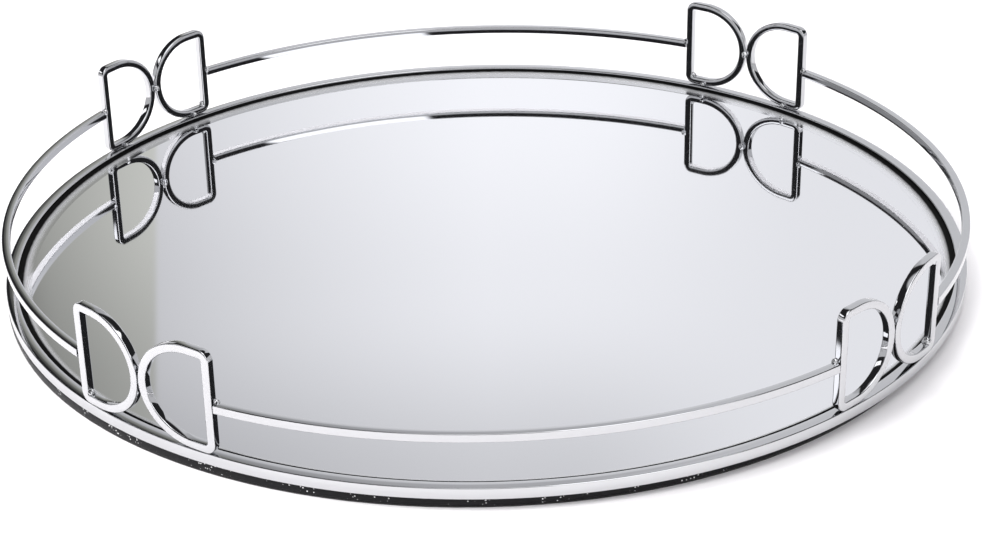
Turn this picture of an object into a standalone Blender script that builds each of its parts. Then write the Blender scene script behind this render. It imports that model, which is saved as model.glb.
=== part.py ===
"""Round mirrored vanity tray with a low gallery rail carried on pairs of D-shaped loops.

Metres, +Z up. The origin is on the axis of the tray, on the plane that it stands on.
From the bottom up: a felt pad, a black base board, a square-section base ring with the
mirror glass lying inside it, eight D-shaped loops standing on the ring in four pairs with
their bellies together, four rail arcs between the pairs, and the weld beads that join them.
"""
import math

import bmesh
import bpy
from mathutils import Matrix, Vector

# Base ring: square bar rolled into a hoop
RING_OUTER_RADIUS = 0.1775
RING_WIDTH = 0.0040
RING_HEIGHT = 0.0040

# Felt pad, base board and mirror
FELT_THICKNESS = 0.0006
FELT_INSET = 0.0003        # felt edge inside the board's edge
BOARD_THICKNESS = 0.0030
BOARD_INSET = 0.0019       # board edge inside the ring's outer face
BOARD_SHIFT = -0.0019      # the board is glued on off centre along X, level with the ring there
BOARD_EDGE = 0.0003
GLASS_THICKNESS = 0.0025
GLASS_INSET = 0.0025       # black gap between the ring and the mirror, where the board shows
GLASS_EDGE = 0.0003        # ground edge of the glass

# D-shaped loops: square bar, straight back away from the other loop of the pair
LOOP_LENGTH = 0.0300       # belly to straight back
LOOP_HEIGHT = 0.0368
LOOP_STRAIGHT = 0.0090     # length of the straight part at the top and the foot
LOOP_CORNER_RADIUS = 0.0038
LOOP_BAR = 0.0030          # bar seen from the side
LOOP_DEPTH = 0.0030        # bar from outside to inside

# Rail arcs
RAIL_WIDTH = 0.0030
RAIL_HEIGHT = 0.0030
RAIL_RISE = 0.0174         # centre of the rail above the ring's top
RAIL_INSET = 0.0005        # middle of the arc inside the ring's outer face

# Weld beads
FOOT_WELD_RADIUS = 0.0009
FOOT_WELD_HEIGHT = 0.0018
FOOT_WELD_PLACE = 0.0090   # from the straight back, along the foot of the loop
RAIL_WELD_RADIUS = 0.0014
RAIL_WELD_FLATNESS = 0.5
BELLY_WELD_RADIUS = 0.0015
BELLY_WELD_FLATNESS = 0.6

FIT_GAP = 0.0003           # between pieces that touch
ROUND_STEPS = 128
CORNER_STEPS = 4
BELLY_STEPS = 20
RAIL_STEPS = 24

# Direction of each pair from the axis, in degrees from +X
PAIRS = {
    "front_left": -128.8,
    "front_right": -42.0,
    "back_right": 50.2,
    "back_left": 141.1,
}
# Loops bent by hand that came out shorter than the others
SHORT_LOOPS = {
    "front_right_1": 0.0020,
    "back_left_1": 0.0022,
    "back_right_2": 0.0012,
}
RAILS = {
    "rail_front": ("front_left", "front_right"),
    "rail_right": ("front_right", "back_right"),
    "rail_back": ("back_right", "back_left"),
    "rail_left": ("back_left", "front_left"),
}

BOARD_BOTTOM = FELT_THICKNESS + FIT_GAP
RING_BOTTOM = BOARD_BOTTOM + BOARD_THICKNESS + FIT_GAP
RING_TOP = RING_BOTTOM + RING_HEIGHT
LOOP_BOTTOM = RING_TOP + FIT_GAP
LOOP_MIDDLE = LOOP_BOTTOM + LOOP_HEIGHT / 2
RAIL_CENTRE = RING_TOP + RAIL_RISE
RING_INNER_RADIUS = RING_OUTER_RADIUS - RING_WIDTH
GLASS_RADIUS = RING_INNER_RADIUS - GLASS_INSET
BOARD_RADIUS = RING_OUTER_RADIUS - BOARD_INSET

# A loop is flat and lies along its own tangent, with its outer face level with the ring's
LOOP_PLANE = RING_OUTER_RADIUS - LOOP_DEPTH / 2
LOOP_INNER_FACE = RING_OUTER_RADIUS - LOOP_DEPTH


def clear_scene():
    for item in list(bpy.data.objects):
        bpy.data.objects.remove(item, do_unlink=True)


def new_collection(name):
    collection = bpy.data.collections.new(name)
    bpy.context.scene.collection.children.link(collection)
    return collection


def new_material(name, color, roughness, metallic):
    material = bpy.data.materials.new(name)
    material.use_nodes = True
    shader = material.node_tree.nodes["Principled BSDF"]
    shader.inputs["Base Color"].default_value = (*color, 1.0)
    shader.inputs["Roughness"].default_value = roughness
    shader.inputs["Metallic"].default_value = metallic
    return material


def place(data, name, collection, material, matrix=None):
    """Link a mesh or curve as a named object, with its material."""
    item = bpy.data.objects.new(name, data)
    collection.objects.link(item)
    if not data.materials:
        data.materials.append(material)
    if matrix is not None:
        item.matrix_world = matrix
    return item


def polar(radius, angle, z=0.0):
    return Vector((radius * math.cos(angle), radius * math.sin(angle), z))


def disc_mesh(name, radius, thickness, edge):
    """A round plate on z = 0 with its two rims broken by a small chamfer."""
    mesh = bpy.data.meshes.new(name)
    shape = bmesh.new()
    bmesh.ops.create_cone(
        shape, cap_ends=True, segments=ROUND_STEPS, radius1=radius, radius2=radius, depth=thickness
    )
    bmesh.ops.translate(shape, verts=shape.verts, vec=(0, 0, thickness / 2))
    rims = [e for e in shape.edges if abs(e.verts[0].co.z - e.verts[1].co.z) < thickness / 2]
    bmesh.ops.bevel(shape, geom=rims, offset=edge, segments=1, affect="EDGES")
    shape.to_mesh(mesh)
    shape.free()
    return mesh


def make_felt(collection, material):
    mesh = disc_mesh("felt_pad", BOARD_RADIUS - FELT_INSET, FELT_THICKNESS, FELT_THICKNESS / 4)
    place(mesh, "felt_pad", collection, material, Matrix.Translation((BOARD_SHIFT, 0, 0)))


def make_board(collection, material):
    mesh = disc_mesh("base_board", BOARD_RADIUS, BOARD_THICKNESS, BOARD_EDGE)
    place(mesh, "base_board", collection, material, Matrix.Translation((BOARD_SHIFT, 0, BOARD_BOTTOM)))


def make_glass(collection, material):
    mesh = disc_mesh("mirror_glass", GLASS_RADIUS, GLASS_THICKNESS, GLASS_EDGE)
    place(mesh, "mirror_glass", collection, material, Matrix.Translation((0, 0, RING_BOTTOM)))


def make_ring(collection, material):
    """A square profile turned round Z, run down its outer side."""
    corners = [
        (RING_OUTER_RADIUS, RING_TOP),
        (RING_OUTER_RADIUS, RING_BOTTOM),
        (RING_INNER_RADIUS, RING_BOTTOM),
        (RING_INNER_RADIUS, RING_TOP),
    ]
    mesh = bpy.data.meshes.new("base_ring")
    edges = [(i, (i + 1) % len(corners)) for i in range(len(corners))]
    mesh.from_pydata([(x, 0, z) for x, z in corners], edges, [])
    ring = place(mesh, "base_ring", collection, material)
    turn = ring.modifiers.new("Turn", "SCREW")
    turn.steps = ROUND_STEPS
    turn.render_steps = ROUND_STEPS
    turn.use_merge_vertices = True
    turn.merge_threshold = 0.00001
    turn.use_smooth_shade = False


def loop_length(pair, side):
    return LOOP_LENGTH - SHORT_LOOPS.get(f"{pair}_{1 if side < 0 else 2}", 0)


def loop_turn(pair, side):
    """Angle from the middle of the pair to the middle of the loop."""
    return side * math.atan((loop_length(pair, side) + FIT_GAP) / 2 / LOOP_INNER_FACE)


def loop_outline(length, inset):
    """Half outline mirrored: the D, pulled in by inset. x runs from the belly to the back."""
    back = length / 2 - inset
    half = LOOP_HEIGHT / 2 - inset
    corner = LOOP_CORNER_RADIUS - inset
    belly_centre = length / 2 - LOOP_STRAIGHT
    belly = length - LOOP_STRAIGHT - inset
    upper = []
    for i in range(CORNER_STEPS + 1):
        angle = math.pi / 2 * i / CORNER_STEPS
        upper.append((back - corner + corner * math.cos(angle), half - corner + corner * math.sin(angle)))
    for i in range(BELLY_STEPS // 2):
        angle = math.pi / 2 * (1 + 2 * i / BELLY_STEPS)
        upper.append((belly_centre + belly * math.cos(angle), half * math.sin(angle)))
    lower = [(x, -y) for x, y in reversed(upper)]
    return upper + [(belly_centre - belly, 0.0)] + lower


def flat_curve(name, outlines, thickness):
    """A filled 2D curve, extruded to a plate; a second outline inside the first is a hole."""
    curve = bpy.data.curves.new(name, "CURVE")
    curve.dimensions = "2D"
    curve.fill_mode = "BOTH"
    curve.extrude = thickness / 2
    for outline in outlines:
        spline = curve.splines.new("POLY")
        spline.points.add(len(outline) - 1)
        for point, (x, y) in zip(spline.points, outline):
            point.co = (x, y, 0.0, 1.0)
        spline.use_cyclic_u = True
    return curve


def welded_mesh(curve):
    """The curve as a mesh whose caps are joined to its sides."""
    source = bpy.data.objects.new(curve.name, curve)
    bpy.context.scene.collection.objects.link(source)
    view = bpy.context.evaluated_depsgraph_get()
    mesh = bpy.data.meshes.new_from_object(source.evaluated_get(view))
    bpy.data.objects.remove(source)
    shape = bmesh.new()
    shape.from_mesh(mesh)
    bmesh.ops.remove_doubles(shape, verts=shape.verts, dist=0.000001)
    bmesh.ops.recalc_face_normals(shape, faces=shape.faces)
    shape.to_mesh(mesh)
    shape.free()
    mesh.name = curve.name
    return mesh


def loop_frame(pair, side):
    """World axes of a loop: X from its belly to its back, Y up, Z through the bar."""
    angle = math.radians(PAIRS[pair]) + loop_turn(pair, side)
    along = Vector((-math.sin(angle), math.cos(angle), 0)) * side
    up = Vector((0, 0, 1))
    through = along.cross(up)
    middle = polar(LOOP_PLANE, angle, LOOP_MIDDLE)
    matrix = Matrix((along, up, through)).transposed().to_4x4()
    matrix.translation = middle
    return matrix


def make_loops(collection, material):
    for pair in PAIRS:
        for number, side in ((1, -1), (2, 1)):
            name = f"loop_{pair}_{number}"
            length = loop_length(pair, side)
            curve = flat_curve(name, [loop_outline(length, 0), loop_outline(length, LOOP_BAR)], LOOP_DEPTH)
            place(welded_mesh(curve), name, collection, material, loop_frame(pair, side))


def rail_end(pair, side):
    """Centre of the rail's section where it meets the straight back of a loop."""
    return loop_frame(pair, side) @ Vector((loop_length(pair, side) / 2 + 1.5 * FIT_GAP, 0, 0))


def rail_outline(start, stop):
    """The band between two arcs, through the rail's two ends and its middle point."""
    half_chord = (start - stop).to_2d().length / 2
    foot = ((start + stop) / 2).to_2d()
    out = foot.normalized()
    bow = RING_OUTER_RADIUS - RAIL_INSET - RAIL_WIDTH / 2 - foot.length
    radius = (half_chord**2 + bow**2) / (2 * bow)
    centre = foot + out * (bow - radius)
    half_angle = math.asin(half_chord / radius)
    middle_angle = math.atan2(out.y, out.x)
    angles = [middle_angle + half_angle * (2 * i / RAIL_STEPS - 1) for i in range(RAIL_STEPS + 1)]
    outer = radius + RAIL_WIDTH / 2
    inner = radius - RAIL_WIDTH / 2
    outline = [(centre.x + outer * math.cos(a), centre.y + outer * math.sin(a)) for a in angles]
    outline += [(centre.x + inner * math.cos(a), centre.y + inner * math.sin(a)) for a in reversed(angles)]
    return outline


def make_rails(collection, material):
    for name, (first, second) in RAILS.items():
        outline = rail_outline(rail_end(first, 1), rail_end(second, -1))
        mesh = welded_mesh(flat_curve(name, [outline], RAIL_HEIGHT))
        place(mesh, name, collection, material, Matrix.Translation((0, 0, RAIL_CENTRE)))


def bead_mesh(name, radius, scale):
    mesh = bpy.data.meshes.new(name)
    shape = bmesh.new()
    bmesh.ops.create_uvsphere(shape, u_segments=10, v_segments=7, radius=radius)
    bmesh.ops.scale(shape, vec=scale, verts=shape.verts)
    shape.to_mesh(mesh)
    shape.free()
    return mesh


def post_mesh(name, radius, height):
    """A short bead of weld, a little wider at its foot."""
    mesh = bpy.data.meshes.new(name)
    shape = bmesh.new()
    bmesh.ops.create_cone(
        shape, cap_ends=True, segments=10, radius1=radius, radius2=radius * 0.8, depth=height
    )
    shape.to_mesh(mesh)
    shape.free()
    return mesh


def make_welds(collection, material):
    """Beads on the inner side: at each loop's foot, at each rail end, and between the bellies."""
    foot = post_mesh("foot_weld", FOOT_WELD_RADIUS, FOOT_WELD_HEIGHT)
    rail = bead_mesh("rail_weld", RAIL_WELD_RADIUS, (RAIL_WELD_FLATNESS, 1, 1))
    belly = bead_mesh("belly_weld", BELLY_WELD_RADIUS, (BELLY_WELD_FLATNESS, 1, 1))
    foot_radius = LOOP_INNER_FACE - FIT_GAP - FOOT_WELD_RADIUS
    rail_radius = LOOP_INNER_FACE - FIT_GAP - RAIL_WELD_RADIUS * RAIL_WELD_FLATNESS
    belly_radius = LOOP_INNER_FACE - FIT_GAP - BELLY_WELD_RADIUS * BELLY_WELD_FLATNESS
    for pair, degrees in PAIRS.items():
        for number, side in ((1, -1), (2, 1)):
            turn = Matrix.Rotation(math.radians(degrees) + loop_turn(pair, side), 4, "Z")
            back_along = side * loop_length(pair, side) / 2
            foot_along = back_along - side * FOOT_WELD_PLACE
            foot_at = Matrix.Translation((foot_radius, foot_along, LOOP_BOTTOM + FOOT_WELD_HEIGHT / 2))
            rail_at = Matrix.Translation((rail_radius, back_along, RAIL_CENTRE))
            place(foot, f"foot_weld_{pair}_{number}", collection, material, turn @ foot_at)
            place(rail, f"rail_weld_{pair}_{number}", collection, material, turn @ rail_at)
        belly_at = Matrix.Translation((belly_radius, 0, LOOP_MIDDLE))
        matrix = Matrix.Rotation(math.radians(degrees), 4, "Z") @ belly_at
        place(belly, f"belly_weld_{pair}", collection, material, matrix)


def main():
    clear_scene()
    tray = new_collection("mirrored_vanity_tray")
    chrome = new_material("chrome", (0.86, 0.86, 0.88), 0.05, 1.0)
    mirror = new_material("mirror", (0.80, 0.84, 0.85), 0.02, 1.0)
    board = new_material("black_board", (0.015, 0.015, 0.016), 0.55, 0.0)
    felt = new_material("black_felt", (0.02, 0.02, 0.02), 0.95, 0.0)
    weld = new_material("chromed_weld", (0.84, 0.84, 0.86), 0.12, 1.0)
    make_felt(tray, felt)
    make_board(tray, board)
    make_glass(tray, mirror)
    make_ring(tray, chrome)
    make_loops(tray, chrome)
    make_rails(tray, chrome)
    make_welds(tray, weld)


main()
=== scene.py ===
"""A round mirrored vanity tray with a chrome gallery rail on pairs of D-shaped loops."""

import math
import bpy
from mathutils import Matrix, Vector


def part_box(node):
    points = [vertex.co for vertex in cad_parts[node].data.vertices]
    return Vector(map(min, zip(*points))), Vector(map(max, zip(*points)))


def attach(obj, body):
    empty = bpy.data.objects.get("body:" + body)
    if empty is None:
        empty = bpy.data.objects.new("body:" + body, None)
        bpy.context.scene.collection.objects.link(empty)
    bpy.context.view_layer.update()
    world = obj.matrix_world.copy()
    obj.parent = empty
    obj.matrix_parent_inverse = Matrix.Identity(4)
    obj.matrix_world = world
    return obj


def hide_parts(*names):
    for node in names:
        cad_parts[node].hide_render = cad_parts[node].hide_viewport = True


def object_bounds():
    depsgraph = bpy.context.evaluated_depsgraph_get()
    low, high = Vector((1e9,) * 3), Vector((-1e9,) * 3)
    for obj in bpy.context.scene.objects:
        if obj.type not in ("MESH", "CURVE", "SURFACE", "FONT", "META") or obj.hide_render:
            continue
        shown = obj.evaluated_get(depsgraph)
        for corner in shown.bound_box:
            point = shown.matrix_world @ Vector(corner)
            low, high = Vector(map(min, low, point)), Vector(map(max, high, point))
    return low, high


bl_info = {
    "name": "Mirrored Vanity Tray",
    "version": (1, 0, 0),
    "blender": (4, 5, 0),
    "location": "View3D > Sidebar > Vanity Tray",
    "description": "Models the bars, mirror, base and weld beads of a round vanity tray",
    "category": "Object",
}

import bmesh
import bpy
from bpy.props import FloatProperty, FloatVectorProperty, PointerProperty
from mathutils import Matrix, Vector

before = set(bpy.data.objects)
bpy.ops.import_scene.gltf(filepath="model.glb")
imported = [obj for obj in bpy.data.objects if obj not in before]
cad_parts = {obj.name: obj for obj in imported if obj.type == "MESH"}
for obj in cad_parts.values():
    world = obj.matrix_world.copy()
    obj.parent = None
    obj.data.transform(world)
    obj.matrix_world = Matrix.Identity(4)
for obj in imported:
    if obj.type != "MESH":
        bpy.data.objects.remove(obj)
CAD_LOW, CAD_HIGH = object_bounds()

RING_LOW, RING_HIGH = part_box("base_ring")
GLASS_LOW, GLASS_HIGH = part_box("mirror_glass")
BOARD_LOW, BOARD_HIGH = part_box("base_board")
FELT_LOW, FELT_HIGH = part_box("felt_pad")
LOOP_LOW, LOOP_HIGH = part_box("loop_front_left_1")
RAIL_LOW, RAIL_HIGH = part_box("rail_front")

RING_RADIUS = RING_HIGH.x
BAR_GAP = LOOP_LOW.z - RING_HIGH.z
LOOP_HEIGHT = LOOP_HIGH.z - LOOP_LOW.z
RAIL_MIDDLE = (RAIL_LOW.z + RAIL_HIGH.z) / 2

PAIRS = ("front_left", "front_right", "back_right", "back_left")
# Each loop's number, and the side of its pair that it stands on, anticlockwise from above
SIDES = ((1, -1), (2, 1))
RAILS = {
    "front": ("front_left", "front_right"),
    "right": ("front_right", "back_right"),
    "back": ("back_right", "back_left"),
    "left": ("back_left", "front_left"),
}
# Weld left inside a loop's corner: the loop, whether it is at the foot, and the bead's size
CORNER_BEADS = (
    ("front_left_1", True, 0.0026),
    ("front_right_2", True, 0.0032),
    ("front_right_2", False, 0.0024),
    ("back_left_1", True, 0.0022),
    ("back_right_2", True, 0.0022),
)

MERGE = 0.00001            # points closer than this are one
PLATE_SIDES = 256
RING_STEPS = 384
RAIL_STEPS = 128
LOOP_SIDES = 96            # sides of the circle that a loop's belly is cut from
RIM_BORDER = 0.001         # flat border that keeps a round plate's middle shaded flat
FELT_EDGE = 0.00012
GLASS_EDGE = 0.00015
STRIP_GAP = 0.00005        # gap of the black strip from the ring's inner face
STRIP_REACH = 0.0010       # level top of the strip from the edge of the glass
STRIP_LEAN = 0.85          # turn of the strip's soft edge towards the middle, at the back
STRIP_SHARP = 10.0         # the strip's edges stay sharp above this many degrees
WELD_LUMP = 0.0011         # size of the lumps on a weld bead
WELD_GRAIN = 0.0002        # depth of the fine grain on a weld bead
WELD_SHARP = 80.0
CORNER_INSET = 1.1         # middle of a corner bead from the outside, in bars
CORNER_LUMPS = 1.6         # lumps on a corner bead, against those on the others
RAIL_REACH = 1.5           # end of a rail from a loop's back, in gaps

# Panels round the tray, in degrees from +X towards +Y and in degrees above the table. Each
# range ends with the softness of its two edges.
DARK = (0.025, 0.025, 0.027)
ROOM_GREY = (0.75, 0.75, 0.77)
WALL_TINT = (1.0, 1.01, 0.95)
WALL_ACROSS = (30.0, 106.0, 0.8)
BACKDROP_TINT = (1.0, 1.005, 1.04)
BACKDROP_ACROSS = (30.0, 110.0, 0.5)
BACKDROP_EDGE = 0.1545     # slope of the backdrop's left edge from the middle of the view
SOFTBOXES = (
    ((-75.0, -32.0, 1.5), (18.2, 60.0, 1.0), (2.2, 2.2, 2.25)),
    ((125.0, 172.0, 1.0), (5.0, 25.5, 0.5), (0.40, 0.40, 0.41)),
    ((-120.0, 20.0, 4.0), (56.0, 84.0, 2.0), (2.4, 2.4, 2.45)),
)
LEFT_BOX_FROM, LEFT_BOX_TO = 166.0, -165.0
LEFT_BOX_UPWARDS = (26.8, 36.0, 0.4)
LEFT_BOX_LIGHT = (1.9, 1.9, 1.95)
WHITE = (1.0, 1.0, 1.0)

# Lights: name, place, what it points at, width and height, and watts
LIGHTS = (
    ("key", (-0.75, -0.35, 0.75), (-0.1, 0, 0), (0.8, 0.8), 15.0),
    ("back", (0.35, 1.3, 1.1), (0.1, 0.2, 0), (1.0, 0.6), 11.0),
    ("top", (0.0, 0.2, 2.0), (0, 0, 0), (2.4, 2.4), 8.0),
)
FLOOR_SIZE = 8.0
FLOOR_GLOW = (1.0, 0.99, 1.0)
VIEW_TURN = (0.3708, 26.5697, -1.0799)     # yaw, pitch and roll in degrees
VIEW_BACK, VIEW_HEIGHT = 0.75475, 0.36273  # from the tray's middle, above the ring


# ---------------------------------------------------------------- settings


class BaseSizes(bpy.types.PropertyGroup):
    board_edge: FloatProperty(
        name="Board edge",
        description="Softened edge of the black board",
        default=0.0004,
        unit="LENGTH",
    )
    board_color: FloatVectorProperty(
        name="Board colour",
        description="Black paint on the board",
        subtype="COLOR",
        default=(0.005, 0.005, 0.006),
    )
    felt_color: FloatVectorProperty(
        name="Felt colour",
        description="Flocked pad under the board",
        subtype="COLOR",
        default=(0.02, 0.02, 0.021),
    )


class MirrorSizes(bpy.types.PropertyGroup):
    silver_depth: FloatProperty(
        name="Silver depth",
        description="How far the silvering seems to lie below the top of the glass",
        default=0.0011,
        unit="LENGTH",
    )
    # A plain black strip round the glass; the soft fade of its inner edge is painted shade and
    # painted reflection
    strip_top: FloatProperty(
        name="Strip top",
        description="Top of the black sealing strip below the ring's top face",
        default=0.0009,
        unit="LENGTH",
    )
    strip_slope: FloatProperty(
        name="Strip slope",
        description="Width of the soft inner edge of the strip",
        default=0.0036,
        unit="LENGTH",
    )
    color: FloatVectorProperty(
        name="Mirror colour",
        description="Tint of the silvered glass",
        subtype="COLOR",
        default=(0.87, 0.875, 0.895),
    )


class BarSizes(bpy.types.PropertyGroup):
    ring_width: FloatProperty(
        name="Ring width",
        description="Base ring from outside to inside",
        default=0.0040,
        unit="LENGTH",
    )
    loop_straight: FloatProperty(
        name="Straight length",
        description="Straight ends of a loop's top and foot",
        default=0.0090,
        unit="LENGTH",
    )
    loop_corner: FloatProperty(
        name="Corner radius",
        description="Outer radius at a loop's two corners",
        default=0.0038,
        unit="LENGTH",
    )
    loop_bar: FloatProperty(
        name="Loop bar",
        description="Bar of a loop, seen from the side",
        default=0.0030,
        unit="LENGTH",
    )
    loop_depth: FloatProperty(
        name="Loop depth",
        description="Bar of a loop, from outside to inside",
        default=0.0030,
        unit="LENGTH",
    )
    rail_bar: FloatProperty(
        name="Rail bar",
        description="Square bar of the rails",
        default=0.0030,
        unit="LENGTH",
    )
    rail_inset: FloatProperty(
        name="Rail inset",
        description="Middle of a rail inside the ring's outer face",
        default=0.0005,
        unit="LENGTH",
    )
    edge: FloatProperty(
        name="Bar edge",
        description="Rounding along the edges of the bars",
        default=0.00032,
        unit="LENGTH",
    )
    loop_edge: FloatProperty(
        name="Loop edge",
        description="Rounding along the edges of the loops",
        default=0.00048,
        unit="LENGTH",
    )
    color: FloatVectorProperty(
        name="Chrome colour",
        description="Polished plate on the bars",
        subtype="COLOR",
        default=(0.57, 0.575, 0.587),
    )


class WeldSizes(bpy.types.PropertyGroup):
    color: FloatVectorProperty(
        name="Weld colour",
        description="Plate over the weld beads",
        subtype="COLOR",
        default=(0.58, 0.585, 0.595),
    )
    lumps: FloatProperty(
        name="Lumps",
        description="Unevenness of the beads",
        default=0.00055,
        unit="LENGTH",
    )
    foot_sink: FloatProperty(
        name="Foot sink",
        description="How far a foot bead runs into the bars",
        default=0.0005,
        unit="LENGTH",
    )
    bar_sink: FloatProperty(
        name="Bar sink",
        description="How far the other beads run into the bars",
        default=0.0013,
        unit="LENGTH",
    )
    rail_lift: FloatProperty(
        name="Rail bead lift",
        description="Rail beads above the middle of the rail",
        default=0.0013,
        unit="LENGTH",
    )


class StageSettings(bpy.types.PropertyGroup):
    floor_color: FloatVectorProperty(
        name="Floor colour",
        description="Pale tabletop under the tray",
        subtype="COLOR",
        default=(0.86, 0.845, 0.855),
    )
    lens: FloatProperty(name="Lens", description="Focal length in millimetres", default=80.148)


# ---------------------------------------------------------------- shader maths


class Wire:
    """A node's output, or a number, that takes part in sums."""

    def __init__(self, net, socket):
        self.net, self.socket = net, socket

    def _sum(self, operation, first, second):
        return self.net.node("ShaderNodeMath", {"operation": operation}, {0: first, 1: second})

    def __add__(self, other):
        return self._sum("ADD", self, other)

    def __radd__(self, other):
        return self._sum("ADD", other, self)

    def __sub__(self, other):
        return self._sum("SUBTRACT", self, other)

    def __rsub__(self, other):
        return self._sum("SUBTRACT", other, self)

    def __mul__(self, other):
        return self._sum("MULTIPLY", self, other)

    def __rmul__(self, other):
        return self._sum("MULTIPLY", other, self)

    def __truediv__(self, other):
        return self._sum("DIVIDE", self, other)

    def __pow__(self, other):
        return self._sum("POWER", self, other)

    def __gt__(self, other):
        return self._sum("GREATER_THAN", self, other)

    def __lt__(self, other):
        return self._sum("LESS_THAN", self, other)


class Net:
    """A node tree that is written as sums and calls."""

    def __init__(self, tree):
        self.tree = tree

    def put(self, socket, value):
        if isinstance(value, Wire):
            self.tree.links.new(value.socket, socket)
        elif isinstance(value, tuple) and len(value) == 3 and len(socket.default_value) == 4:
            socket.default_value = (*value, 1.0)
        else:
            socket.default_value = value

    def node(self, kind, settings=None, values=None, out=0):
        """Add a node: its settings come first, then the values or links of its sockets."""
        made = self.tree.nodes.new(kind)
        for name, value in (settings or {}).items():
            setattr(made, name, value)
        for name, value in (values or {}).items():
            self.put(made.inputs[name], value)
        return Wire(self, made.outputs[out])

    def object_point(self):
        return self.node("ShaderNodeTexCoord", out="Object")

    def parts(self, vector):
        """X, Y and Z of a vector."""
        split = self.tree.nodes.new("ShaderNodeSeparateXYZ")
        self.put(split.inputs[0], vector)
        return [Wire(self, socket) for socket in split.outputs]

    def noise(self, point, scale, detail=2.0, roughness=0.5):
        values = {"Vector": point, "Scale": scale, "Detail": detail, "Roughness": roughness}
        return self.node("ShaderNodeTexNoise", {}, values, "Fac")

    def cells(self, point, scale):
        values = {"Vector": point, "Scale": scale}
        return self.node("ShaderNodeTexVoronoi", {}, values, "Distance")

    def ease(self, value, low, high, start=0.0, stop=1.0):
        """Smooth step from start to stop as the value goes from low to high."""
        values = {"Value": value, "From Min": low, "From Max": high}
        values |= {"To Min": start, "To Max": stop}
        return self.node("ShaderNodeMapRange", {"interpolation_type": "SMOOTHSTEP"}, values)

    def band(self, value, low, high, soft):
        """1 between low and high, 0 outside, with soft ends."""
        rise = self.ease(value, low - soft, low + soft)
        return rise * self.ease(value, high - soft, high + soft, 1.0, 0.0)

    def blend(self, mask, first, second):
        """Colour mix: first where the mask is 0, second where it is 1."""
        # A Mix node has its colours in inputs 6 and 7 and in output 2
        settings = {"data_type": "RGBA"}
        return self.node("ShaderNodeMix", settings, {0: mask, 6: first, 7: second}, 2)

    def grains(self, point, scale, low, high):
        """Small round specks, one to a cell."""
        return self.ease(self.cells(point, scale), low, high, 1.0, 0.0)

    def clouds(self, point, scale, low, high):
        """Broad soft patches."""
        return self.ease(self.noise(point, scale), low, high)

    def scaled(self, color, factor):
        values = {0: color, "Scale": factor}
        return self.node("ShaderNodeVectorMath", {"operation": "SCALE"}, values)

    def positive(self, value):
        """The value, or 0 where it is below 0."""
        return self.node("ShaderNodeMath", {"operation": "MAXIMUM"}, {0: value, 1: 0.0})

    def bump(self, height, strength, distance, normal=None):
        values = {"Height": height, "Strength": strength, "Distance": distance}
        if normal is not None:
            values["Normal"] = normal
        return self.node("ShaderNodeBump", {}, values)


def new_finish(name, **values):
    """A material with a Principled shader, its net, and a function that sets its sockets."""
    material = bpy.data.materials.new(name)
    material.use_nodes = True
    net = Net(material.node_tree)
    shader = material.node_tree.nodes["Principled BSDF"]
    for socket, value in values.items():
        net.put(shader.inputs[socket.replace("_", " ")], value)
    return material, net, lambda socket, value: net.put(shader.inputs[socket], value)


def chrome_finish(name, color, lumps=0.0):
    """Bright plate: a faint roll wave along the bars, small pits and a little haze."""
    material, net, put = new_finish(name, Metallic=1.0)
    point = net.object_point()
    wave = net.noise(point, 90.0, 1.0)
    haze = net.noise(point, 260.0, 3.0)
    pits = net.grains(point, 900.0, 0.05, 0.12) * net.clouds(point, 160.0, 0.55, 0.65)
    put("Base Color", net.blend(haze, tuple(0.97 * c for c in color), color))
    put("Roughness", 0.025 + haze * 0.04 + pits * 0.2)
    normal = net.bump(wave, 0.10, 0.0004)
    if lumps:
        normal = net.bump(net.noise(point, 1400.0, 3.0), 0.6, lumps, normal)
    put("Normal", net.bump(pits, 0.25, 0.00005, normal))
    return material


def bar_chrome():
    """The plate that all bars share, made once."""
    name = "polished_chrome"
    made = bpy.data.materials.get(name)
    return made or chrome_finish(name, tuple(bpy.context.scene.tray_bars.color))


def mirror_finish(color):
    """Silvered glass with scattered dust and a few lint specks."""
    settings = {"Metallic": 1.0, "Coat_Weight": 0.35, "Coat_Roughness": 0.0}
    material, net, put = new_finish("silvered_mirror", **settings)
    point = net.object_point()
    fine = net.grains(point, 420.0, 0.03, 0.10) * net.clouds(point, 55.0, 0.58, 0.66)
    dust = fine * net.clouds(point, 9.0, 0.42, 0.68)
    put("Base Color", net.blend(dust, color, (0.95, 0.95, 0.94)))
    put("Roughness", 0.03 + dust * 0.4)
    return material


def strip_finish(color, foot, crest):
    """Black strip round the mirror, whose sloping inner edge fades into the silvering: the fade
    is a painted shade and a painted reflection of the ring's inner wall.
    """
    material, net, put = new_finish("black_strip_painted_fade", Specular_IOR_Level=0.02)
    point = net.object_point()
    x, y, _ = net.parts(point)
    radius = (x * x + y * y) ** 0.5
    grain = net.noise(point, 500.0, 3.0)
    # From the crest to the foot the colour fades from black to the mirror's silver: a painted
    # reflection of the ring's inner wall and painted shade at the edge of the glass
    bright = foot * 0.92 + crest * 0.08
    dark = foot * 0.12 + crest * 0.88
    silver = net.ease(radius + (grain - 0.5) * 0.0003, bright, dark, 1.0, 0.0) ** 0.5
    put("Metallic", silver)
    put("Base Color", net.scaled(color, silver * 0.995 + 0.003))
    put("Roughness", 0.5 - silver * 0.38)
    # The soft edge lies flatter than the slope that carries it, and leans inwards at the back
    lean = net.positive(y) * -STRIP_LEAN
    level = net.node("ShaderNodeCombineXYZ", {}, {"X": 0.0, "Y": lean, "Z": 1.0})
    put("Normal", net.node("ShaderNodeVectorMath", {"operation": "NORMALIZE"}, {0: level}))
    return material


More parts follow.
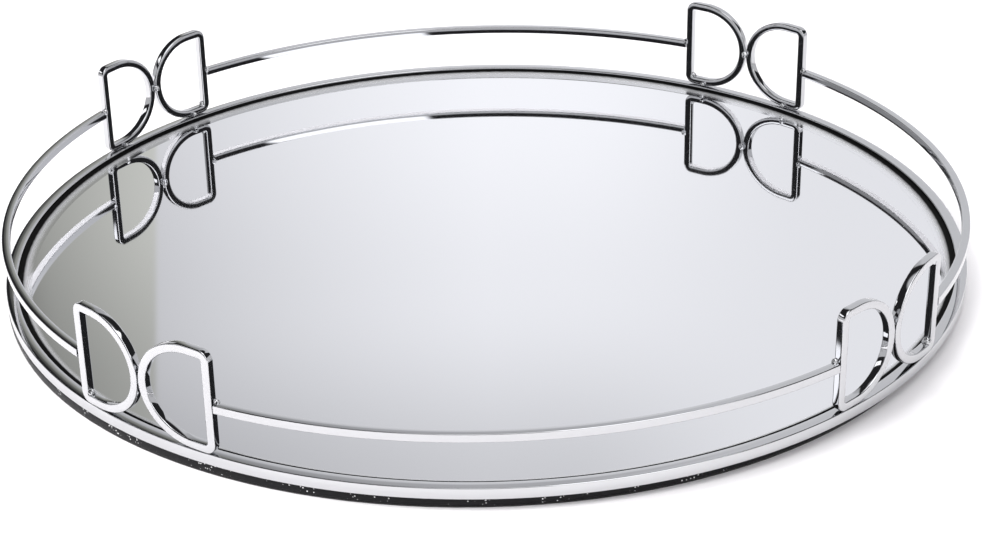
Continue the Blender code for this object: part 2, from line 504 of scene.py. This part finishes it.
def board_finish(color):
    """Black satin paint on fibreboard, speckled with painted white glints."""
    material, net, put = new_finish("black_board_paint", Specular_IOR_Level=0.18)
    point = net.object_point()
    grain = net.noise(point, 700.0, 4.0)
    # Scattered white specks are painted glints of light on the black board
    specks = net.grains(point, 900.0, 0.16, 0.26) * net.clouds(point, 140.0, 0.50, 0.57)
    put("Base Color", net.blend(specks, color, (0.85, 0.85, 0.85)))
    put("Roughness", 0.32 + grain * 0.25)
    put("Normal", net.bump(grain, 0.4, 0.0002))
    return material


def felt_finish(color):
    """Short black fibres."""
    material, net, put = new_finish("black_felt", Roughness=0.95, Sheen_Weight=0.3)
    point = net.object_point()
    fibres = net.noise(point, 1800.0, 4.0, 0.7)
    deep, tip = tuple(0.6 * c for c in color), tuple(1.6 * c for c in color)
    put("Base Color", net.blend(fibres, deep, tip))
    put("Normal", net.bump(fibres, 0.7, 0.0002))
    return material


# ---------------------------------------------------------------- modelling by hand


def add(kind, name, **settings):
    """Add a primitive on its own and name it."""
    bpy.ops.object.select_all(action="DESELECT")
    getattr(bpy.ops.mesh, f"primitive_{kind}_add")(**settings)
    piece = bpy.context.active_object
    piece.name = piece.data.name = name
    return piece


def edit():
    bpy.ops.object.mode_set(mode="EDIT")
    bpy.ops.mesh.select_all(action="SELECT")


def done():
    bpy.ops.object.mode_set(mode="OBJECT")


def pick(kind, test):
    """Select only the vertices, edges or faces whose middle and normal pass a test."""
    bpy.ops.mesh.select_mode(type=kind)
    bpy.ops.mesh.select_all(action="DESELECT")
    shape = bmesh.from_edit_mesh(bpy.context.edit_object.data)
    if kind == "VERT":
        chosen = [v for v in shape.verts if test(v.co)]
    elif kind == "EDGE":
        chosen = [e for e in shape.edges if all(test(v.co) for v in e.verts)]
    else:
        chosen = [f for f in shape.faces if test(f.calc_center_median(), f.normal)]
    for item in chosen:
        item.select_set(True)
    shape.select_flush_mode()
    bmesh.update_edit_mesh(bpy.context.edit_object.data)


def apply_modifier(piece, kind, **settings):
    modifier = piece.modifiers.new(kind.title(), kind)
    for name, value in settings.items():
        setattr(modifier, name, value)
    bpy.context.view_layer.objects.active = piece
    bpy.ops.object.modifier_apply(modifier=modifier.name)


def settle(piece, matrix=None):
    """Move the piece's place into its mesh."""
    if matrix is not None:
        piece.matrix_world = matrix @ piece.matrix_world
    bpy.ops.object.select_all(action="DESELECT")
    piece.select_set(True)
    bpy.context.view_layer.objects.active = piece
    bpy.ops.object.transform_apply(location=True, rotation=True, scale=True)


def finish_piece(piece, material, slot, *nodes, angle=35.0):
    """Shade a piece, give it its material, hang it under the root and hide the solids that it
    stands for.
    """
    bpy.ops.object.select_all(action="DESELECT")
    piece.select_set(True)
    bpy.context.view_layer.objects.active = piece
    bpy.ops.object.shade_smooth_by_angle(angle=math.radians(angle))
    piece.data.materials.clear()
    piece.data.materials.append(material)
    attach(piece, "root")
    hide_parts(*nodes)


def round_corners(radius, segments):
    bpy.ops.mesh.bevel(
        offset_type="OFFSET", offset=radius, segments=segments, profile=0.5, affect="VERTICES"
    )


def bar_section(name, width, height, edge, place):
    """Outline of a square bar with rounded edges, standing on XZ, ready to be spun about Z."""
    piece = add("plane", name, size=1.0, location=place, rotation=(math.pi / 2, 0, 0))
    piece.scale = (width, height, 1)
    settle(piece)
    edit()
    if edge:
        round_corners(edge, 4)
    bpy.ops.mesh.select_all(action="SELECT")
    bpy.ops.mesh.delete(type="ONLY_FACE")
    bpy.ops.mesh.select_all(action="SELECT")
    return piece


def spin_round(steps):
    """Turn the outline that is being edited into a closed ring about Z."""
    bpy.ops.mesh.select_all(action="SELECT")
    bpy.ops.mesh.spin(steps=steps, angle=math.tau, center=(0, 0, 0), axis=(0, 0, 1))
    bpy.ops.mesh.select_all(action="SELECT")
    bpy.ops.mesh.remove_doubles(threshold=MERGE)
    bpy.ops.mesh.normals_make_consistent(inside=False)
    done()


def turned_disc(name, radius, low, high, edge, sides):
    """A round plate with softened rims."""
    depth = high - low
    piece = add(
        "cylinder",
        name,
        vertices=sides,
        radius=radius,
        depth=depth,
        location=(0, 0, (low + high) / 2),
        end_fill_type="NGON",
    )
    settle(piece)
    edit()
    for test in (lambda co: co.z > high - depth / 4, lambda co: co.z < low + depth / 4):
        pick("EDGE", test)
        bpy.ops.mesh.bevel(offset=edge, segments=3, profile=0.5, affect="EDGES")
    pick("FACE", lambda co, normal: abs(normal.z) > 0.99)
    bpy.ops.mesh.inset(thickness=RIM_BORDER)
    done()
    return piece


def boxed_disc(name, low, high, edge, sides):
    """A round plate that fills the box from low to high."""
    piece = turned_disc(name, (high.x - low.x) / 2, low.z, high.z, edge, sides)
    middle = (low + high) / 2
    settle(piece, Matrix.Translation((middle.x, middle.y, 0)))
    return piece


def loop_place(sizes, pair, number):
    """Length of a loop and its place: X from its belly to its back, Y up, Z through the bar."""
    low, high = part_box(f"loop_{pair}_{number}")
    middle, reach = (low + high) / 2, high - low
    angle = math.atan2(middle.y, middle.x)
    sine, cosine = abs(math.sin(angle)), abs(math.cos(angle))
    if sine > cosine:
        length = (reach.x - sizes.loop_depth * cosine) / sine
    else:
        length = (reach.y - sizes.loop_depth * sine) / cosine
    along = Vector((-math.sin(angle), math.cos(angle), 0)) * dict(SIDES)[number]
    up = Vector((0, 0, 1))
    matrix = Matrix((along, up, along.cross(up))).transposed().to_4x4()
    matrix.translation = middle
    return length, matrix


def weld_bead(name, place, size, texture, strength):
    """A lumpy bead of weld."""
    bead = add("ico_sphere", name, subdivisions=4, radius=0.5, location=place)
    bead.scale = size
    settle(bead)
    apply_modifier(
        bead,
        "DISPLACE",
        texture=texture,
        texture_coords="LOCAL",
        strength=strength,
        mid_level=0.5,
    )
    return bead


# ---------------------------------------------------------------- pieces


class TRAY_OT_base(bpy.types.Operator):
    """Felt pad and black base board"""

    bl_idname = "tray.base"
    bl_label = "Base board and felt"

    def execute(self, context):
        sizes = context.scene.tray_base
        board = boxed_disc("board_disc", BOARD_LOW, BOARD_HIGH, sizes.board_edge, PLATE_SIDES)
        finish_piece(board, board_finish(tuple(sizes.board_color)), "black_board", "base_board")
        felt = boxed_disc("felt_disc", FELT_LOW, FELT_HIGH, FELT_EDGE, PLATE_SIDES // 2)
        finish_piece(felt, felt_finish(tuple(sizes.felt_color)), "black_felt", "felt_pad")
        return {"FINISHED"}


class TRAY_OT_mirror(bpy.types.Operator):
    """Silvered mirror lying inside the ring"""

    bl_idname = "tray.mirror"
    bl_label = "Mirror"

    def execute(self, context):
        sizes = context.scene.tray_mirror
        top = GLASS_HIGH.z - sizes.silver_depth
        color = tuple(sizes.color)
        radius = GLASS_HIGH.x
        mirror = turned_disc("mirror_disc", radius, GLASS_LOW.z, top, GLASS_EDGE, PLATE_SIDES)
        finish_piece(mirror, mirror_finish(color), "silvered_glass", "mirror_glass")
        crest = radius + STRIP_REACH
        outer = RING_RADIUS - context.scene.tray_bars.ring_width - STRIP_GAP
        foot = crest - sizes.strip_slope
        low, high = RING_LOW.z, RING_HIGH.z - sizes.strip_top
        middle = ((crest + outer) / 2, 0, (low + high) / 2)
        strip = bar_section("edge_strip", outer - crest, high - low, 0.0, middle)
        pick("VERT", lambda co: co.x < (crest + outer) / 2 and co.z < (low + high) / 2)
        bpy.ops.transform.translate(value=(foot - crest, 0, top - low + MERGE))
        spin_round(PLATE_SIDES)
        # The strip's colour fades from black to silver: painted shade and painted reflection of
        # the ring's inner wall
        strip_painted_fade = strip_finish(color, foot, crest)
        finish_piece(strip, strip_painted_fade, "silvered_glass", "mirror_glass", angle=STRIP_SHARP)
        return {"FINISHED"}


class TRAY_OT_ring(bpy.types.Operator):
    """Base ring of square bar"""

    bl_idname = "tray.ring"
    bl_label = "Base ring"

    def execute(self, context):
        sizes = context.scene.tray_bars
        middle = (RING_RADIUS - sizes.ring_width / 2, 0, (RING_LOW.z + RING_HIGH.z) / 2)
        height = RING_HIGH.z - RING_LOW.z
        ring = bar_section("ring_bar", sizes.ring_width, height, sizes.edge, middle)
        spin_round(RING_STEPS)
        finish_piece(ring, bar_chrome(), "chrome_bar", "base_ring")
        return {"FINISHED"}


def loop_bar(sizes, name, length):
    """A D-shaped loop of square bar, lying on XY with its belly towards -X."""
    half = LOOP_HEIGHT / 2
    back = length / 2
    belly = length - sizes.loop_straight
    belly_middle = belly - back
    loop = add("circle", name, vertices=LOOP_SIDES, radius=half, fill_type="NOTHING")
    edit()
    bpy.ops.transform.resize(value=(belly / half, 1, 1), center_override=(0, 0, 0))
    bpy.ops.mesh.bisect(plane_co=(0, 0, 0), plane_no=(1, 0, 0), clear_outer=True)
    bpy.ops.mesh.select_all(action="SELECT")
    bpy.ops.transform.translate(value=(belly_middle, 0, 0))
    pick("VERT", lambda co: co.x > belly_middle - MERGE)
    straight = {"value": (back - belly_middle, 0, 0)}
    bpy.ops.mesh.extrude_region_move(TRANSFORM_OT_translate=straight)
    bpy.ops.mesh.select_all(action="SELECT")
    bpy.ops.mesh.edge_face_add()
    pick("VERT", lambda co: co.x > back - MERGE)
    round_corners(sizes.loop_corner, 10)
    bpy.ops.mesh.select_mode(type="FACE")
    bpy.ops.mesh.select_all(action="SELECT")
    bpy.ops.mesh.inset(thickness=sizes.loop_bar, use_even_offset=True)
    bpy.ops.mesh.delete(type="ONLY_FACE")
    done()
    apply_modifier(loop, "SOLIDIFY", thickness=sizes.loop_depth, offset=0.0)
    apply_modifier(
        loop,
        "BEVEL",
        width=sizes.loop_edge,
        segments=4,
        limit_method="ANGLE",
        angle_limit=math.radians(50),
    )
    edit()
    bpy.ops.mesh.normals_make_consistent(inside=False)
    done()
    return loop


class TRAY_OT_loops(bpy.types.Operator):
    """Eight D-shaped loops in four pairs"""

    bl_idname = "tray.loops"
    bl_label = "D-shaped loops"

    def execute(self, context):
        sizes = context.scene.tray_bars
        material = bar_chrome()
        for pair in PAIRS:
            for number, _ in SIDES:
                length, place = loop_place(sizes, pair, number)
                bar = loop_bar(sizes, f"loop_bar_{pair}_{number}", length)
                settle(bar, place)
                finish_piece(bar, material, "chrome_bar", f"loop_{pair}_{number}")
        return {"FINISHED"}


class TRAY_OT_rails(bpy.types.Operator):
    """Four rail arcs between the pairs of loops"""

    bl_idname = "tray.rails"
    bl_label = "Rails"

    def execute(self, context):
        sizes = context.scene.tray_bars
        material = bar_chrome()
        for name, (first, second) in RAILS.items():
            ends = []
            for pair, number in ((first, 2), (second, 1)):
                length, place = loop_place(sizes, pair, number)
                end = Vector((length / 2 + RAIL_REACH * BAR_GAP, 0, 0))
                ends.append((place @ end).to_2d())
            start, stop = ends
            foot = (start + stop) / 2
            half_chord = (stop - start).length / 2
            bow = RING_RADIUS - sizes.rail_inset - sizes.rail_bar / 2 - foot.length
            radius = (half_chord**2 + bow**2) / (2 * bow)
            centre = foot + foot.normalized() * (bow - radius)
            half_angle = math.asin(half_chord / radius)
            section = (radius, 0, RAIL_MIDDLE)
            bar = sizes.rail_bar
            rail = bar_section(f"rail_bar_{name}", bar, bar, sizes.edge, section)
            bpy.ops.transform.rotate(
                value=half_angle, orient_axis="Z", center_override=(0, 0, 0)
            )
            bpy.ops.mesh.spin(
                steps=RAIL_STEPS, angle=2 * half_angle, center=(0, 0, 0), axis=(0, 0, 1)
            )
            bpy.ops.mesh.select_all(action="SELECT")
            bpy.ops.mesh.fill_holes(sides=0)
            bpy.ops.mesh.normals_make_consistent(inside=False)
            done()
            points = [v.co for v in rail.data.vertices]
            spread = math.atan2(sum(p.y for p in points), sum(p.x for p in points))
            turn = math.atan2(foot.y, foot.x) - spread
            place = Matrix.Translation((centre.x, centre.y, 0)) @ Matrix.Rotation(turn, 4, "Z")
            settle(rail, place)
            finish_piece(rail, material, "chrome_bar", f"rail_{name}")
        return {"FINISHED"}


class TRAY_OT_welds(bpy.types.Operator):
    """Weld beads at the loops' feet, at the rail ends and between the bellies"""

    bl_idname = "tray.welds"
    bl_label = "Weld beads"

    def execute(self, context):
        sizes = context.scene.tray_welds
        material = chrome_finish("chromed_weld", tuple(sizes.color), WELD_GRAIN)
        lumps = bpy.data.textures.new("weld_lumps", "CLOUDS")
        lumps.noise_scale = WELD_LUMP
        names = []
        for pair in PAIRS:
            for number, _ in SIDES:
                names += [f"foot_weld_{pair}_{number}", f"rail_weld_{pair}_{number}"]
            names.append(f"belly_weld_{pair}")
        for name in names:
            low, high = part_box(name)
            size, middle = high - low, (low + high) / 2
            out = Vector((middle.x, middle.y, 0)).normalized()
            middle += out * (sizes.foot_sink if name.startswith("foot") else sizes.bar_sink)
            if name.startswith("rail"):
                middle.z += sizes.rail_lift
            bead = weld_bead(name.replace("_weld_", "_bead_"), middle, size, lumps, sizes.lumps)
            finish_piece(bead, material, "chrome_weld", name, angle=WELD_SHARP)
        bars = context.scene.tray_bars
        for loop, foot, size in CORNER_BEADS:
            pair, number = loop.rsplit("_", 1)
            length, place = loop_place(bars, pair, int(number))
            inset = CORNER_INSET * bars.loop_bar
            side = -1 if foot else 1
            at = place @ Vector((length / 2 - inset, side * (LOOP_HEIGHT / 2 - inset), 0))
            name = f"corner_bead_{loop}_{'foot' if foot else 'top'}"
            bead = weld_bead(name, at, (size, size, size), lumps, sizes.lumps * CORNER_LUMPS)
            finish_piece(bead, material, "chrome_bar", f"loop_{loop}", angle=WELD_SHARP)
        return {"FINISHED"}


# ---------------------------------------------------------------- stage


def studio_light(name, place, aim, size, power):
    """A white area light that no reflection shows."""
    bpy.ops.object.light_add(type="AREA", location=place)
    light = bpy.context.active_object
    light.name = name
    light.data.shape = "RECTANGLE"
    light.data.size, light.data.size_y = size
    light.data.energy = power
    light.rotation_euler = (Vector(aim) - Vector(place)).to_track_quat("-Z", "Y").to_euler()
    light.visible_glossy = False


def view_axes():
    """Ahead, side and top of the view that the stage is set up for."""
    yaw, pitch, roll = (math.radians(angle) for angle in VIEW_TURN)
    right = Vector((math.cos(yaw), -math.sin(yaw), 0))
    level = Vector((math.sin(yaw), math.cos(yaw), 0))
    ahead = level * math.cos(pitch) - Vector((0, 0, math.sin(pitch)))
    up = right.cross(ahead)
    sine, cosine = math.sin(roll), math.cos(roll)
    return ahead, right * cosine + up * sine, up * cosine - right * sine


def studio_world():
    """Pale panels and dark gaps round the tray, by direction from it in degrees."""
    world = bpy.data.worlds.new("studio")
    world.use_nodes = True
    bpy.context.scene.world = world
    net = Net(world.node_tree)
    x, y, z = net.parts(net.node("ShaderNodeTexCoord", out="Generated"))
    degrees = 180 / math.pi
    azimuth = net.node("ShaderNodeMath", {"operation": "ARCTAN2"}, {0: y, 1: x}) * degrees
    elevation = net.node("ShaderNodeMath", {"operation": "ARCSINE"}, {0: z}) * degrees
    room = net.ease(elevation, 17.0, 18.8, 1.0, 0.0) + net.ease(elevation, 64.0, 72.0)
    color = net.blend(room, DARK, ROOM_GREY)
    # A green-grey wall stands behind the backdrop and shows to the left of it
    below = net.ease(elevation, 44.0, 50.0, 1.0, 0.0)
    shade = net.ease(azimuth, 97.5, 105.5, 0.58, 0.22)
    shade = shade * net.ease(elevation, 24.0, 30.0, 1.12, 0.80)
    shade = shade * net.ease(azimuth, 102.2, 104.2, 1.0, 0.60)
    wall = net.scaled(WALL_TINT, shade)
    color = net.blend(net.band(azimuth, *WALL_ACROSS) * below, color, wall)
    # The backdrop darkens upwards and sideways
    level = 1.03 - net.ease(elevation, 22.0, 27.5) * 0.10 - net.ease(elevation, 27.0, 32.5) * 0.27
    to_right = net.ease(azimuth, 88.0, 80.0)
    level = level * (1.0 - to_right) + 0.86 * to_right
    aside = net.positive(azimuth - 90.0)
    level = level * (1.0 - aside * 0.02 - aside * aside * 0.0015)
    backdrop = net.scaled(BACKDROP_TINT, level)
    # It ends at a straight upright edge, as the mirror shows it
    ahead, side, top = view_axes()
    edge = (ahead - side * BACKDROP_EDGE).cross(top).normalized()
    right_of_edge = net.ease(x * edge.x + y * edge.y - z * edge.z, -0.0015, 0.0015)
    mask = net.band(azimuth, *BACKDROP_ACROSS) * right_of_edge * below
    color = net.blend(mask, color, backdrop)
    for across, upwards, light in SOFTBOXES:
        mask = net.band(azimuth, *across) * net.band(elevation, *upwards)
        color = net.blend(mask, color, light)
    across = (azimuth > LEFT_BOX_FROM) + (azimuth < LEFT_BOX_TO)
    mask = across * net.band(elevation, *LEFT_BOX_UPWARDS)
    color = net.blend(mask, color, LEFT_BOX_LIGHT)
    camera_ray = net.node("ShaderNodeLightPath", out="Is Camera Ray")
    color = net.blend(camera_ray, color, WHITE)
    net.put(world.node_tree.nodes["Background"].inputs["Color"], color)


class TRAY_OT_stage(bpy.types.Operator):
    """Floor, lights, surroundings and camera"""

    bl_idname = "tray.stage"
    bl_label = "Stage"

    def execute(self, context):
        settings = context.scene.tray_stage
        floor = add("plane", "floor", size=FLOOR_SIZE, location=(0, 0, CAD_LOW.z))
        settle(floor)
        values = {"Roughness": 0.6, "Specular_IOR_Level": 0.2, "Emission_Strength": 0.05}
        material, net, put = new_finish("pale_tabletop", **values)
        put("Emission Color", FLOOR_GLOW)
        put("Base Color", tuple(settings.floor_color))
        floor.data.materials.append(material)
        studio_world()
        for light in LIGHTS:
            studio_light(*light)
        bpy.ops.object.camera_add()
        camera = bpy.context.active_object
        ahead, side, top = view_axes()
        matrix = Matrix((side, top, -ahead)).transposed().to_4x4()
        matrix.translation = Vector((0, -VIEW_BACK, RING_HIGH.z + VIEW_HEIGHT))
        camera.matrix_world = matrix
        camera.data.lens = settings.lens
        camera.data.clip_start = 0.01
        context.scene.camera = camera
        context.scene.view_settings.view_transform = "Standard"
        return {"FINISHED"}


# ---------------------------------------------------------------- panel and registration

STEPS = (
    TRAY_OT_base,
    TRAY_OT_mirror,
    TRAY_OT_ring,
    TRAY_OT_loops,
    TRAY_OT_rails,
    TRAY_OT_welds,
    TRAY_OT_stage,
)
GROUPS = {
    "tray_base": BaseSizes,
    "tray_mirror": MirrorSizes,
    "tray_bars": BarSizes,
    "tray_welds": WeldSizes,
    "tray_stage": StageSettings,
}


class TRAY_PT_panel(bpy.types.Panel):
    """Sizes and steps of the tray"""

    bl_idname = "TRAY_PT_panel"
    bl_label = "Vanity Tray"
    bl_space_type = "VIEW_3D"
    bl_region_type = "UI"
    bl_category = "Vanity Tray"

    def draw(self, context):
        for group in GROUPS:
            box = self.layout.box()
            settings = getattr(context.scene, group)
            for name in settings.__annotations__:
                box.prop(settings, name)
        for step in STEPS:
            self.layout.operator(step.bl_idname)


def register():
    for group in GROUPS.values():
        bpy.utils.register_class(group)
    for name, group in GROUPS.items():
        setattr(bpy.types.Scene, name, PointerProperty(type=group))
    for step in (*STEPS, TRAY_PT_panel):
        bpy.utils.register_class(step)


def unregister():
    for step in reversed((*STEPS, TRAY_PT_panel)):
        bpy.utils.unregister_class(step)
    for name in GROUPS:
        delattr(bpy.types.Scene, name)
    for group in reversed(tuple(GROUPS.values())):
        bpy.utils.unregister_class(group)


def main():
    register()
    bpy.ops.tray.base()
    bpy.ops.tray.mirror()
    bpy.ops.tray.ring()
    bpy.ops.tray.loops()
    bpy.ops.tray.rails()
    bpy.ops.tray.welds()
    bpy.ops.tray.stage()


if __name__ == "__main__":
    main()
